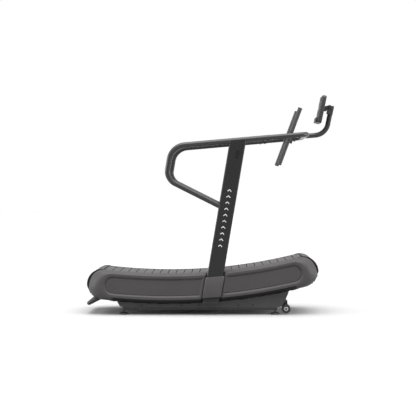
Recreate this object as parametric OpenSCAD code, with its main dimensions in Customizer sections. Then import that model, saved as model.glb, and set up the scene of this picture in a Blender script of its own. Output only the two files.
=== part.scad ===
// Curved manual treadmill, in millimetres.
// +X is the running direction (front), +Z is up, the floor is Z = 0, and the
// origin lies on the floor below the middle of the machine.
// The machine is symmetric about the XZ plane; the right side is -Y.

/* [Running belt] */
// Radius of the concave running surface
deck_r = 4100; // [3900:50:4300]
// Height of the lowest point of the running surface
deck_low = 306; // [300:1:316]
// Place of that lowest point along X
deck_x = -330; // [-340:1:-320]
// Angle from the lowest point back to the rear shaft
rear_ang = 6.74; // [6.6:0.02:6.8]
// Angle from the lowest point forward to the front shaft
front_ang = 13.97; // [13.8:0.01:14.1]
// Outer radius of the belt where it wraps round a shaft
drum_r = 112; // [110:1:114]
// Half of the slat length
belt_half = 240; // [230:1:242]
// Number of slats in the loop
slat_n = 61; // [55:1:61]
// Width of one slat along the belt
slat_w = 54.5; // [52:0.5:57]
// Thickness of the rubber pad on a slat
pad_t = 4; // [3:0.5:5]
// Thickness of the aluminium bar under the pad
bar_t = 5; // [4:0.5:5]

/* [Side covers] */
// Distance from the middle plane to the outer face of a cover
cover_half = 385; // [380:1:388]
// Distance from the middle plane to the cover's edge beside the belt
cover_in = 250; // [248:1:256]
// Half height of the cover's outer face
rim_h = 85; // [80:1:88]
// Half height of the recessed panel
panel_h = 62; // [55:1:66]
// Depth of the recessed panel
panel_d = 8; // [4:1:8]
// Wall of a cover
cover_wall = 3; // [2.5:0.5:4]
// Angle at which the rear covers' round ends are centred beside the belt
cover_rear = 6.6; // [6.5:0.01:6.7]
// Angle at which the front covers' round ends are centred beside the belt
cover_front = 13.87; // [13.7:0.01:13.9]
// Angle to the round end of the rear panel
rear_panel = 5.5; // [5.2:0.1:5.8]
// Angle to the round end of the front panel
front_panel = 12.9; // [12.6:0.1:13.1]

/* [Chassis] */
// Distance from the middle plane to the outer face of a side plate
plate_half = 311; // [309:1:313]
// Thickness of a side plate
plate_t = 5; // [4:1:6]
// Distance of the levelling feet from the middle plane
foot_y = 280; // [276:1:284]
// Place of the front feet along X
foot_front = 475; // [470:1:480]
// Place of the rear feet along X
foot_rear = -659; // [-665:1:-650]
// Diameter of a foot pad
foot_d = 72; // [60:1:76]
// Radius of a transport wheel
wheel_r = 34; // [30:1:35]

/* [Uprights and rails] */
// Width of an upright along X
upright_w = 120; // [110:1:124]
// Thickness of an upright across the machine
upright_t = 50; // [44:1:50]
// Forward lean of the uprights
upright_lean = 9.53; // [8.8:0.1:10]
// Distance of the handrails from the middle plane
rail_y = 370; // [366:1:372]
// Diameter of the handrail tube
rail_d = 40; // [36:1:42]
// Upward slope of the handrails towards the front
rail_slope = 4.97; // [4.5:0.1:5.4]
// Height of the handrail line above the origin
rail_z = 1284; // [1270:1:1300]
// Wall of every tube
tube_wall = 2.5; // [2:0.5:3]

/* [Console] */
// Width of the console across the machine
console_w = 260; // [220:5:300]
// Height of the console
console_h = 212; // [205:1:220]
// Thickness of the console
console_t = 33; // [30:1:36]
// Lean of the console and its post
console_lean = 11.6; // [10:0.2:13]

/* [Hidden] */

charcoal = [0.23, 0.225, 0.225];
dark = [0.14, 0.135, 0.135];
black = [0.05, 0.05, 0.05];
rubber = [0.09, 0.09, 0.09];
steel = [0.62, 0.63, 0.65];
alu = [0.72, 0.73, 0.75];

// --- loop of the belt -------------------------------------------------
// Centre of the running arc, and the radius on which both shafts lie
arc_z = deck_low + deck_r;
shaft_r = deck_r + drum_r;
// Depth of the belt's pitch line below the top of a slat
pitch_in = 12;
top_r = deck_r + pitch_in;
low_r = shaft_r + drum_r - pitch_in;
wrap_r = drum_r - pitch_in;
arc_len = (rear_ang + front_ang) * PI / 180;
loop_len = (top_r + low_r) * arc_len + 2 * PI * wrap_r;
slat_pitch = loop_len / slat_n;

// Point at radius r and angle t from straight down, as [x, z]
function on_arc(r, t) = [deck_x + r * sin(t), arc_z - r * cos(t)];
rear_c = on_arc(shaft_r, -rear_ang);
front_c = on_arc(shaft_r, front_ang);

// Place on the pitch line at length s: [x, z, turn about Y], with the
// slat's outward side at local +Z
function deg(len, r) = len / r * 180 / PI;
function outward(a) = [sin(a), cos(a)];
function place_at(c, r, a) = [c[0] + r * sin(a), c[1] + r * cos(a), a];
function top_place(s) =
    let (t = -rear_ang + deg(s, top_r), p = on_arc(top_r, t)) [p[0], p[1], -t];
function low_place(s) =
    let (t = front_ang - deg(s, low_r), p = on_arc(low_r, t)) [p[0], p[1], 180 - t];
s1 = top_r * arc_len;
s2 = s1 + PI * wrap_r;
s3 = s2 + low_r * arc_len;
function loop_place(s) =
    s < s1 ? top_place(s) :
    s < s2 ? place_at(front_c, wrap_r, -front_ang + deg(s - s1, wrap_r)) :
    s < s3 ? low_place(s - s2) :
    place_at(rear_c, wrap_r, 180 + rear_ang + deg(s - s3, wrap_r));
function slat_s(i) = (i + 0.5) * slat_pitch;
n_top = floor(s1 / slat_pitch);

// --- covers -----------------------------------------------------------
cover_r = shaft_r - 9;
// Outer skin of a cover, row by row outwards from the belt: distance from
// the middle plane, half height, drop of the middle, share of the way from
// the belt's end to the panel's end
skin_y = [cover_in, cover_in + 50, cover_half - 40, cover_half - 15, cover_half];
skin_h = [104, 103.5, 99.5, 93, rim_h];
skin_c = [0, 1.5, 2.5, 1, 0];
skin_f = [0, 0.07, 0.29, 0.54, 1];
split_x = 20;

// --- uprights and rails ------------------------------------------------
// Foot of the upright's axis on the plane Z = up_foot
up_foot = 100;
up_x = -6.5;
function up_at(z) = up_x + (z - up_foot) * tan(upright_lean);
// Direction of the handrail line in the XZ plane
rail_dir = [cos(rail_slope), sin(rail_slope)];
function rail_at(x) = rail_z + x * tan(rail_slope);
bar_x = 707;
splice_x = 433;
bar_r = rail_d / 2 - 1;
// Lower corner of the handrail's loop, and its end inside the upright
rail_low = [-338.4, 1013.4];
rail_end = [75, 805.7];
// Push handles: lower end and direction
push_y = 240;
push_low = [505, 1121];
push_tilt = 20.5;
push_len = 457;
push_r = 14;
// Cross bar that carries them, tangent to their front side
cross_r = 14;
cross_x = 618.4;

// --- console ----------------------------------------------------------
console_c = [837, 1547];
pivot = [903, 1572];
post_top = [918.2, 1575.8];
post_r = 19;
button_pitch = 56;

// --- transport wheels and carry handle -----------------------------------
wheel_c = [557, 43];
wheel_y = 285;
wheel_w = 24;
grip_c = [-925, 81];
carry_y = 290;
bolt_xz = [[-522, 68], [-225, 68], [306, 73], [-90, 71], [200, 71]];

// ======================= helpers =========================================
// Draws a child outline of the XZ plane as a plate from y to y + t
module xz_plate(y, t) {
    translate([0, y + t, 0]) rotate([90, 0, 0]) linear_extrude(t) children();
}

// Repeats the child, drawn on the right side, on the left side
module both_sides() {
    children();
    mirror([0, 1, 0]) children();
}

// Cylinder along Y from y0 to y1 at [x, z]
module y_rod(c, r, y0, y1, fn = 48) {
    translate([c[0], y1, c[1]]) rotate([90, 0, 0]) cylinder(r = r, h = y1 - y0, $fn = fn);
}

// Ring along Y
module y_ring(c, r_out, r_in, y0, y1) {
    difference() {
        y_rod(c, r_out, y0, y1);
        y_rod(c, r_in, y0 - 1, y1 + 1);
    }
}

// Rounded rectangle about the origin, of true arcs
module rrect(w, h, r) {
    square([w - 2 * r, h], center = true);
    square([w, h - 2 * r], center = true);
    for (sx = [-1, 1], sy = [-1, 1])
        translate([sx * (w / 2 - r), sy * (h / 2 - r)]) circle(r, $fn = 32);
}

// Sector of the arc between two angles from straight down, out to r
module sector(t1, t2, r = 6000) {
    mid = (t1 + t2) / 2;
    polygon([[deck_x, arc_z], on_arc(r, t1), on_arc(r, mid), on_arc(r, t2)]);
}

// Outline of a loop at distance rho from the shafts' arc, with round ends
function loop_points(rho) = concat(
    [for (k = [0 : 30]) on_arc(shaft_r - rho, -rear_ang + (rear_ang + front_ang) * k / 30)],
    [for (k = [1 : 35]) front_c + rho * outward(5 * k - front_ang)],
    [for (k = [0 : 30]) on_arc(shaft_r + rho, front_ang - (rear_ang + front_ang) * k / 30)],
    [for (k = [1 : 35]) rear_c + rho * outward(5 * k + 180 + rear_ang)]);
module loop_shape(rho) {
    polygon(loop_points(rho));
}

// Sweeps a profile of [radius, distance from the middle plane] along the
// arc, on the right side
module arc_sweep(t1, t2) {
    translate([deck_x, 0, arc_z]) rotate([90, 0, 0]) rotate([0, 0, t1 - 90])
        rotate_extrude(angle = t2 - t1, $fn = 1440) children();
}

// Hollow tube through flat points with bends, in the XY plane
function unit(v) = v / norm(v);
function turn(a, b) = atan2(a[0] * b[1] - a[1] * b[0], a * b);
function setback(p, rad, i) =
    (i == 0 || i == len(p) - 1) ? 0 :
    rad[i] * tan(abs(turn(unit(p[i] - p[i - 1]), unit(p[i + 1] - p[i]))) / 2);
module ring_2d(r, wall) {
    difference() {
        circle(r, $fn = 48);
        circle(r - wall, $fn = 48);
    }
}
// Stretches and bends stand a hair apart, so that each is a clean solid
hair = 0.01;
module bent_tube(p, rad, r, wall = tube_wall) {
    for (i = [0 : len(p) - 2]) {
        d = unit(p[i + 1] - p[i]);
        a = p[i] + d * setback(p, rad, i);
        b = p[i + 1] - d * setback(p, rad, i + 1);
        translate([a[0], a[1], 0]) rotate([0, 0, atan2(d[1], d[0])]) rotate([0, 90, 0])
            translate([0, 0, hair]) linear_extrude(norm(b - a) - 2 * hair) ring_2d(r, wall);
    }
    if (len(p) > 2) for (i = [1 : len(p) - 2]) {
        u = unit(p[i] - p[i - 1]);
        v = unit(p[i + 1] - p[i]);
        w = turn(u, v);
        side = w > 0 ? 1 : -1;
        start = p[i] - u * setback(p, rad, i);
        c = start + [-u[1], u[0]] * side * rad[i];
        from = w > 0 ? start - c : p[i] + v * setback(p, rad, i) - c;
        translate([c[0], c[1], 0]) rotate([0, 0, atan2(from[1], from[0])])
            rotate_extrude(angle = abs(w), $fn = 144) translate([rad[i], 0]) ring_2d(r, wall);
    }
}
// The same in the XZ plane at height y across the machine
module xz_tube(p, rad, r, y, wall = tube_wall) {
    translate([0, y, 0]) rotate([90, 0, 0]) bent_tube(p, rad, r, wall);
}

// Frame on the handrail line: local X along the rail
module on_rail(x) {
    translate([x, 0, rail_at(x)]) rotate([0, -rail_slope, 0]) children();
}

// Frame of the console: local X to the back, Z up its face
module at_console() {
    translate([console_c[0], 0, console_c[1]]) rotate([0, console_lean, 0]) children();
}
// Frame of the tilt pivot, turned as the console
module at_pivot() {
    translate([pivot[0], 0, pivot[1]]) rotate([0, console_lean, 0]) children();
}

// Frame of an upright: local Z along it, local origin at its foot
module at_upright(side) {
    translate([up_x, side * rail_y, up_foot]) rotate([0, upright_lean, 0]) children();
}

// ======================= base ===========================================
// Outline of a side plate: a curved beam between the shafts and a skirt
module plate_outline() {
    loop_shape(60);
    polygon([[-720, 180], [-704, 88], [-690, 68], [-668, 56], [500, 56], [524, 62],
        [554, 117], [569, 152], [600, 250]]);
}

module side_plate() {
    color(dark) difference() {
        xz_plate(-plate_half, plate_t) plate_outline();
        for (c = [rear_c, front_c]) y_rod(c, 16, -plate_half - 1, -plate_half + plate_t + 1);
        for (c = bolt_xz) y_rod(c, 4, -plate_half - 1, -plate_half + plate_t + 1);
    }
    // Lower edge, folded inwards
    color(dark) translate([-655, 0, 0]) rotate([90, 0, 90]) linear_extrude(1145)
        polygon([[-plate_half, 56], [-plate_half + plate_t, 56], [-plate_half + 16, 36],
            [-plate_half + 11, 34]]);
}
module right_side_plate() { side_plate(); }
module left_side_plate() { mirror([0, 1, 0]) side_plate(); }

// Box sections between the side plates; the end ones take the feet
module base_cross_members() {
    inner = plate_half - plate_t;
    color(dark) for (x = [foot_rear, -90, 200, foot_front]) difference() {
        translate([x - 30, -inner, 60]) cube([60, 2 * inner, 22]);
        translate([x - 27, -inner - 1, 63]) cube([54, inner - foot_y - 30 + 1, 16]);
        translate([x - 27, foot_y + 30, 63]) cube([54, inner - foot_y - 30 + 1, 16]);
        translate([x - 27, -foot_y + 30, 63]) cube([54, 2 * foot_y - 60, 16]);
        for (sy = [-1, 1]) translate([x, sy * foot_y, 50]) cylinder(r = 6.05, h = 60, $fn = 48);
    }
}

// Angles of the tubes across the deck
deck_tubes = [-4.6, -1.2, 2.4, 6.2, 11.2];
module deck_cross_tubes() {
    inner = plate_half - plate_t;
    color(dark) for (t = deck_tubes) y_ring(on_arc(shaft_r, t), 16, 13.5, -inner, inner);
}

rail_plate_y = [176, 184];
module bearing_rails() {
    color(steel) both_sides() difference() {
        xz_plate(-rail_plate_y[1], 8) intersection() {
            translate([deck_x, arc_z]) difference() {
                circle(shaft_r + 18, $fn = 1440);
                circle(top_r + 7, $fn = 1440);
            }
            sector(-rear_ang + 2, front_ang - 2);
        }
        for (t = deck_tubes) y_rod(on_arc(shaft_r, t), 16, -190, -170);
        for (i = [0 : roller_n - 1]) y_rod(roller_at(i), 6, -190, -170);
    }
}

// Bearings that carry the belt, one row under each drive belt
roller_n = 15;
roller_r = 17;
roller_arc = top_r + 2.8 + 0.3 + roller_r;
function roller_at(i) =
    on_arc(roller_arc, -rear_ang + 2.4 + i * (rear_ang + front_ang - 4.8) / (roller_n - 1));
module roller_axles() {
    color(steel) both_sides() for (i = [0 : roller_n - 1]) {
        y_rod(roller_at(i), 6, -232, -rail_plate_y[0]);
        y_rod(roller_at(i), 10, -rail_plate_y[0], -rail_plate_y[0] + 6);
    }
}
module support_rollers() {
    color(alu) both_sides() for (i = [0 : roller_n - 1])
        y_ring(roller_at(i), roller_r, 6, -228, -192);
}

// Two flat belts that the slats are bolted to
module drive_belts() {
    color(black) both_sides() xz_plate(-230, 40) difference() {
        loop_shape(wrap_r + 2.8);
        loop_shape(wrap_r - 2.8);
    }
}

module at_slat(i) {
    p = loop_place(slat_s(i));
    translate([p[0], 0, p[1]]) rotate([0, p[2], 0]) children();
}
// Bars lie just outside the belts, pads on top of them
module slat_bars() {
    color(alu) for (i = [0 : slat_n - 1]) at_slat(i)
        translate([-slat_w / 2 + 1, -belt_half + 2, pitch_in - pad_t - bar_t])
            cube([slat_w - 2, 2 * belt_half - 4, bar_t]);
}
module pad() {
    c = 1.2;
    w = slat_w / 2;
    translate([0, belt_half, pitch_in - pad_t]) rotate([90, 0, 0]) linear_extrude(2 * belt_half)
        polygon([[-w, 0], [w, 0], [w, pad_t - c], [w - c, pad_t], [c - w, pad_t], [-w, pad_t - c]]);
}
module running_slats() {
    color(rubber) for (i = [0 : n_top - 1]) at_slat(i) pad();
}
module return_slats() {
    color(rubber) for (i = [n_top : slat_n - 1]) at_slat(i) pad();
}

// Flanged bearing units inside the side plates
module shaft_bearings() {
    inner = plate_half - plate_t;
    color(steel) both_sides() for (c = [rear_c, front_c]) {
        difference() {
            union() {
                y_rod(c, 40, -inner, -inner + 10);
                y_rod(c, 28, -inner, -inner + 25);
            }
            y_rod(c, 12.55, -inner - 1, -inner + 30);
        }
    }
}

// Screws that push the rear bearings back to tension the belts
module belt_tensioners() {
    inner = plate_half - plate_t;
    color(steel) both_sides() translate([rear_c[0], 0, rear_c[1]]) {
        translate([46, -inner, -12]) cube([10, 22, 24]);
        translate([40.2, -inner + 8, 0]) rotate([0, 90, 0]) cylinder(r = 4, h = 5.8, $fn = 32);
        translate([56, -inner + 8, 0]) rotate([0, 90, 0]) cylinder(r = 7, h = 6, $fn = 6);
    }
}

// Pick-up on the right plate, beside the magnet ring on the front shaft
module speed_sensor() {
    inner = plate_half - plate_t;
    color(black) translate([front_c[0] - 60, -inner, front_c[1] - 12]) {
        translate([-6, 0, 0]) cube([24, 5, 24]);
        translate([0, 5, 6]) cube([12, 36, 12]);
        translate([12, 33, 6]) cube([14, 8, 12]);
    }
}

module shaft(c) {
    inner = plate_half - plate_t;
    color(steel) y_rod(c, 12.5, -inner - 4, inner + 4);
}
// Spoked belt pulley: rim, web and hub, on both sides
module pulleys(c) {
    rim = wrap_r - 3.1;
    color(alu) both_sides() translate([c[0], -232, c[1]]) rotate([-90, 0, 0]) difference() {
        rotate_extrude($fn = 96) polygon([[12.5, 0], [26, 0], [26, 17], [rim - 9, 17],
            [rim - 9, 0], [rim, 0], [rim, 44], [rim - 9, 44], [rim - 9, 27], [26, 27],
            [26, 44], [12.5, 44]]);
        for (k = [0 : 5]) rotate([0, 0, 60 * k]) translate([56, 0, 10])
            cylinder(r = 17, h = 24, $fn = 48);
    }
}
module front_shaft() {
    shaft(front_c);
    color(black) y_ring(front_c, 30, 12.5, -262, -254);
}
module front_pulleys() { pulleys(front_c); }
module rear_shaft() { shaft(rear_c); }
module rear_pulleys() { pulleys(rear_c); }

// ======================= covers =========================================
// Half space before (-1) or behind (+1) the radial plane at angle t
module half_space(t, side) {
    translate([deck_x, 0, arc_z]) rotate([0, -t, 0])
        translate([side > 0 ? 0 : -3000, -500, -6000]) cube([3000, 1000, 6000]);
}

// Disc of row i of the skin, at angle t, shrunk by wall
module skin_disc(i, t, wall) {
    y = i == 0 ? skin_y[0] - (wall > 0 ? 5 : 0) :
        skin_y[i] - (i == 4 ? wall + (wall > 0 ? panel_d : 0) : wall);
    y_rod(on_arc(cover_r + skin_c[i], t), skin_h[i] - wall, -y, -y + 1, 64);
}

// Convex end of a cover from the panel's end round the belt's end
module cover_end(tp, tb, wall) {
    hull() for (i = [0 : 4]) {
        skin_disc(i, tp, wall);
        skin_disc(i, tp + (tb - tp) * (1 - skin_f[i]), wall);
    }
}

// Section of the straight-running part, as [radius, distance out]
function skin_side(s, wall) = [for (i = [0 : 4]) [cover_r + skin_c[i] + s * (skin_h[i] - wall),
    skin_y[i] - (wall > 0 && i == 4 ? wall + panel_d : wall * (i > 2 ? 1 : 0))]];
module cover_section() {
    top_out = skin_side(-1, 0);
    top_in = skin_side(-1, cover_wall);
    low_out = skin_side(1, 0);
    low_in = skin_side(1, cover_wall);
    outer = concat(top_out, [[cover_r + rim_h, cover_half]],
        [low_out[3], low_out[2], [low_out[1][0], plate_half]]);
    inner = concat([[low_in[1][0], plate_half]], [low_in[2], low_in[3], low_in[4]],
        [top_in[4], top_in[3], top_in[2], top_in[1], top_in[0]]);
    difference() {
        polygon(concat(outer, inner));
        translate([cover_r - panel_h, cover_half - panel_d]) square([2 * panel_h, 20]);
    }
}

// Band of the upright, width w, as a cutter from the outside in to y
module upright_band(w, y) {
    translate([up_x, 0, up_foot]) rotate([0, upright_lean, 0])
        translate([-w / 2, -cover_half - 60, -200]) cube([w, cover_half + 60 - y, 700]);
}

// Keeps the recess clear of the strip beside the upright
module recess_stop() {
    upright_band(176, cover_half - 60);
}

module rear_cover() {
    color(charcoal) difference() {
        union() {
            difference() {
                cover_end(-rear_panel, -cover_rear, 0);
                cover_end(-rear_panel, -cover_rear, cover_wall);
                half_space(-rear_panel, 1);
            }
            arc_sweep(-rear_panel, split_t) cover_section();
            intersection() {
                arc_sweep(-0.5, split_t) translate([cover_r - panel_h, cover_half - panel_d])
                    square([2 * panel_h, panel_d]);
                recess_stop();
            }
        }
        y_rod(on_arc(cover_r, -rear_panel), panel_h - 0.5, -cover_half - 5, -cover_half + panel_d);
        upright_band(upright_w + 22, 337);
        // Slot for the arm of the carry handle
        translate([-910, -carry_y - 19, 60]) cube([140, 38, 85]);
    }
}
module front_cover() {
    color(charcoal) difference() {
        union() {
            difference() {
                cover_end(front_panel, cover_front, 0);
                cover_end(front_panel, cover_front, cover_wall);
                half_space(front_panel, -1);
            }
            arc_sweep(split_t, front_panel) cover_section();
            intersection() {
                arc_sweep(split_t, 10) translate([cover_r - panel_h, cover_half - panel_d])
                    square([2 * panel_h, panel_d]);
                recess_stop();
            }
        }
        y_rod(on_arc(cover_r, front_panel), panel_h - 0.5, -cover_half - 5, -cover_half + panel_d);
        upright_band(upright_w + 22, 337);
    }
}
// Angle at which the rear and front covers meet, behind the upright
split_t = asin((split_x - deck_x) / cover_r);
module right_rear_cover() { rear_cover(); }
module right_front_cover() { front_cover(); }
module left_rear_cover() { mirror([0, 1, 0]) rear_cover(); }
module left_front_cover() { mirror([0, 1, 0]) front_cover(); }

// Stays between the side plate and the covers
module cover_brackets() {
    out = cover_half - panel_d - cover_wall;
    color(dark) both_sides() for (t = [-4.4, -1, 7.6, 11.6]) {
        p = on_arc(shaft_r, t);
        translate([p[0], 0, p[1]]) rotate([0, -t, 0]) {
            translate([-10, -out, -2]) cube([20, out - plate_half, 4]);
            translate([-10, -out, -16]) cube([20, 4, 32]);
        }
    }
}

// ======================= uprights =======================================
up_len = 1260;
module upright() {
    color(charcoal) difference() {
        at_upright(-1) translate([0, 0, -30]) linear_extrude(up_len) difference() {
            rrect(upright_w, upright_t, 12);
            rrect(upright_w - 6, upright_t - 6, 9);
        }
        translate([-300, -500, -100]) cube([600, 500, up_foot + 100]);
        on_rail(0) translate([-100, -500, 0]) cube([700, 500, 200]);
        on_rail(-200) translate([0, -rail_y, 0]) rotate([0, 90, 0])
            cylinder(r = rail_d / 2, h = 700, $fn = 48);
        translate([rail_end[0], -rail_y, rail_end[1]])
            rotate([0, atan2(rail_low[0] - rail_end[0], rail_low[1] - rail_end[1]), 0])
                cylinder(r = rail_d / 2, h = 100, $fn = 48);
    }
}
module right_upright() { upright(); }
module left_upright() { mirror([0, 1, 0]) upright(); }

module upright_sleeves() {
    color(charcoal) both_sides() intersection() {
        at_upright(-1) translate([0, 0, -60]) linear_extrude(400) difference() {
            rrect(upright_w + 18, upright_t + 10, 7);
            rrect(upright_w, upright_t, 12);
        }
        xz_plate(-420, 100) intersection() {
            translate([deck_x, arc_z]) difference() {
                circle(cover_r + 100, $fn = 1440);
                circle(cover_r - rim_h, $fn = 1440);
            }
            square([500, 1000], center = true);
        }
    }
}

// Steps under the uprights and stays to the side plates
module upright_brackets() {
    in_y = plate_half;
    color(dark) both_sides() {
        translate([-66, -392, 92]) cube([112, 54.5, 8]);
        translate([-66, -338, 90]) cube([112, 338 - in_y, 8]);
        translate([-43, -334, 74]) cube([76, 334 - in_y, 18]);
        translate([-10, -rail_y + upright_t / 2 + 5, 190])
            cube([50, rail_y - upright_t / 2 - 5 - in_y, 50]);
    }
}

// Plain oval access cap high on each upright
module upright_plugs() {
    color(black) both_sides() at_upright(-1) translate([13, -upright_t / 2, 1113])
        rotate([90, 0, 0]) linear_extrude(1.2) {
            square([26, 34], center = true);
            for (s = [-1, 1]) translate([0, 17 * s]) circle(13, $fn = 48);
        }
}

// ======================= rails ==========================================
module handrail() {
    color(charcoal) xz_tube([[splice_x, rail_at(splice_x)], [-297.3, rail_at(-297.3)],
        rail_low, rail_end], [0, 125, 100, 0], rail_d / 2, -rail_y);
}
module right_handrail() { handrail(); }
module left_handrail() { mirror([0, 1, 0]) handrail(); }

// One bent tube from splice to splice round the front
module front_handlebar() {
    u0 = splice_x / rail_dir[0];
    u1 = bar_x / rail_dir[0];
    color(charcoal) translate([0, 0, rail_z]) rotate([0, -rail_slope, 0])
        bent_tube([[u0, -rail_y], [u1, -rail_y], [u1, rail_y], [u0, rail_y]],
            [0, 70, 70, 0], bar_r);
}
module handlebar_screws() {
    color(steel) both_sides() for (x = [380, 415]) on_rail(x) translate([0, -rail_y, 0])
        difference() {
            translate([0, 0, -rail_d / 2 - 3]) cylinder(r = 5, h = 5, $fn = 32);
            translate([-10, 0, 0]) rotate([0, 90, 0]) cylinder(r = rail_d / 2, h = 20, $fn = 48);
        }
}

module crossbar() {
    p = [cross_x, rail_at(cross_x)];
    color(charcoal) difference() {
        y_ring(p, cross_r, cross_r - tube_wall, -rail_y + 8, rail_y - 8);
        for (s = [-1, 1]) on_rail(cross_x - 60) translate([0, s * rail_y, 0])
            rotate([0, 90, 0]) cylinder(r = bar_r, h = 120, $fn = 48);
    }
}
// Frame along a push handle, from its lower end
module at_push(side) {
    translate([push_low[0], side * push_y, push_low[1]]) rotate([0, push_tilt, 0]) children();
}
// Distance along the handle to the clamp
clamp_at = 222.5;
module handle_clamps() {
    color(dark) for (s = [-1, 1]) difference() {
        at_push(s) translate([-20, -21, clamp_at - 19]) cube([70, 42, 38]);
        at_push(s) cylinder(r = push_r, h = push_len, $fn = 48);
        y_rod([cross_x, rail_at(cross_x)], cross_r, s * push_y - 30, s * push_y + 30);
    }
}
module push_handles() {
    color(dark) for (s = [-1, 1]) at_push(s) translate([0, 0, 6])
        linear_extrude(push_len - 12) ring_2d(push_r, 2.5);
}
module push_grips() {
    color(rubber) for (s = [-1, 1], z = [6, 264]) at_push(s) translate([0, 0, z])
        linear_extrude(187) ring_2d(push_r + 2.5, 2.5);
}
module push_caps() {
    color(black) for (s = [-1, 1]) at_push(s) {
        cylinder(r = push_r + 2.5, h = 6, $fn = 48);
        translate([0, 0, push_len - 6]) cylinder(r = push_r + 2.5, h = 6, $fn = 48);
    }
}

// ======================= console ========================================
module console_post() {
    up = [sin(console_lean), cos(console_lean)];
    a = [bar_x + 9, rail_at(bar_x) + 0.7];
    corner = [873.5, 1358];
    b = a + unit(corner - a) * 40;
    color(charcoal) {
        difference() {
            xz_tube([a, b], [0, 0], post_r, 0);
            y_rod([bar_x, rail_at(bar_x)], bar_r, -60, 60);
        }
        xz_tube([b, corner, post_top - up * 66.8], [0, 105, 0], post_r, 0);
    }
}
// Fork on top of the post; the console's arm swings in its slot
module console_fork() {
    color(dark) at_pivot() difference() {
        translate([-13, -20, -60]) cube([46, 40, 68]);
        translate([-14, -13.7, -46]) cube([48, 27.4, 60]);
        y_rod([0, 0], 4.05, -30, 30);
    }
}
module console_arm() {
    color(dark) at_pivot() difference() {
        union() {
            y_rod([0, 0], 12, -13.5, 13.5);
            xz_plate(-13.5, 27) polygon([[-43, -43], [-43, -8], [-9, 8], [5, -11], [-24, -43]]);
        }
        y_rod([0, 0], 4.05, -30, 30);
    }
}
// Knob with the stud that clamps the fork on the arm
module tilt_knob() {
    color(black) at_pivot() {
        y_rod([0, 0], 4, -21, 20);
        difference() {
            y_rod([0, 0], 11, -36, -20.6);
            for (k = [0 : 5]) y_rod([12.5 * cos(60 * k), 12.5 * sin(60 * k)], 3.4, -37, -20);
        }
    }
}

// Turns an outline of width by height so that it faces the runner,
// from depth x to x + t
module face_plate(x, t) {
    translate([x, 0, 0]) rotate([90, 0, 90]) linear_extrude(t) children();
}
button_z = -58;
module console_housing() {
    f = -console_t / 2;
    color(black) at_console() difference() {
        face_plate(f, console_t) rrect(console_w, console_h, 18);
        face_plate(f - 1, 4) translate([0, 26]) rrect(console_w - 44, 132, 6);
        for (k = [-1 : 1]) translate([f - 1, k * button_pitch, button_z]) rotate([0, 90, 0])
            cylinder(r = 8.08, h = 10, $fn = 48);
    }
}
module console_screen() {
    color([0.03, 0.03, 0.04]) at_console() face_plate(-console_t / 2 + 1, 2)
        translate([0, 26]) rrect(console_w - 44, 132, 6);
}
// Ledge with a raised front edge that holds a tablet
module tablet_lip() {
    f = -console_t / 2;
    color(black) at_console() {
        translate([f - 14, -95, -console_h / 2]) cube([14, 190, 5]);
        translate([f - 14, -95, -console_h / 2]) cube([4, 190, 38]);
    }
}
module button(k) {
    color([0.35, 0.35, 0.36]) at_console()
        translate([-console_t / 2 - 1.6, k * button_pitch, button_z]) rotate([0, 90, 0])
            cylinder(r = 8, h = 7, $fn = 48);
}
module left_button() { button(1); }
module middle_button() { button(0); }
module right_button() { button(-1); }

// ======================= base hardware ==================================
module carry_handle() {
    rise = 27;
    y = carry_y;
    top = [140 / cos(rise), 0];
    color(dark) translate([grip_c[0], 0, grip_c[1]]) rotate([0, -rise, 0]) {
        bent_tube([[top[0], -y], [0, -y], [0, y], [top[0], y]], [0, 45, 45, 0], 15);
        for (s = [-1, 1]) translate([top[0] - 1, s * (y + 3) - 13, -14]) cube([26, 26, 28]);
    }
}

module wheel_brackets() {
    color(dark) both_sides() {
        xz_plate(-267, 5) {
            polygon([[505, 60], [505, 92], [536, 108], [566, 108], [572, 43], [542, 43],
                [530, 60]]);
            translate(wheel_c) circle(15, $fn = 48);
        }
        translate([505, -300, 60]) cube([4, 33, 22]);
        translate([536, -297, 98]) cube([30, 30, 10]);
    }
}
module wheel_bolts() {
    color(steel) both_sides() {
        y_rod(wheel_c, 6, -300, -267);
        y_rod(wheel_c, 9, -304, -298.5, 6);
    }
}
module tyre() {
    color(black) translate([wheel_c[0], -wheel_y - wheel_w / 2, wheel_c[1]]) rotate([-90, 0, 0])
        rotate_extrude($fn = 96) polygon([[21, 0], [wheel_r - 4, 0], [wheel_r, 4],
            [wheel_r, wheel_w - 4], [wheel_r - 4, wheel_w], [21, wheel_w]]);
}
module hub() {
    color(alu) translate([wheel_c[0], -wheel_y - wheel_w / 2, wheel_c[1]]) rotate([-90, 0, 0])
        rotate_extrude($fn = 96) polygon([[6.05, 0], [11, 0], [11, 3], [17, 3], [17, 0],
            [21, 0], [21, wheel_w], [17, wheel_w], [17, wheel_w - 3], [11, wheel_w - 3],
            [11, wheel_w], [6.05, wheel_w]]);
}
module right_tyre() { tyre(); }
module right_hub() { hub(); }
module left_tyre() { mirror([0, 1, 0]) tyre(); }
module left_hub() { mirror([0, 1, 0]) hub(); }

// Levelling foot: pad, threaded stem and lock nut
module foot(x, side) {
    color(black) translate([x, side * foot_y, 0]) {
        cylinder(r1 = foot_d / 2, r2 = foot_d / 2 - 4, h = 12, $fn = 64);
        translate([0, 0, 12]) cylinder(r1 = foot_d / 2 - 8, r2 = 12, h = 6, $fn = 64);
        translate([0, 0, 18]) cylinder(r = 6, h = 72, $fn = 48);
        translate([0, 0, 48]) cylinder(r = 10.5, h = 9, $fn = 6);
    }
}
module front_right_foot() { foot(foot_front, -1); }
module front_left_foot() { foot(foot_front, 1); }
module rear_right_foot() { foot(foot_rear, -1); }
module rear_left_foot() { foot(foot_rear, 1); }

module frame_bolts() {
    color(steel) both_sides() for (c = bolt_xz) {
        y_rod(c, 4, -plate_half, -plate_half + plate_t);
        y_rod(c, 7.5, -plate_half - 5, -plate_half, 6);
    }
}

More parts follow.
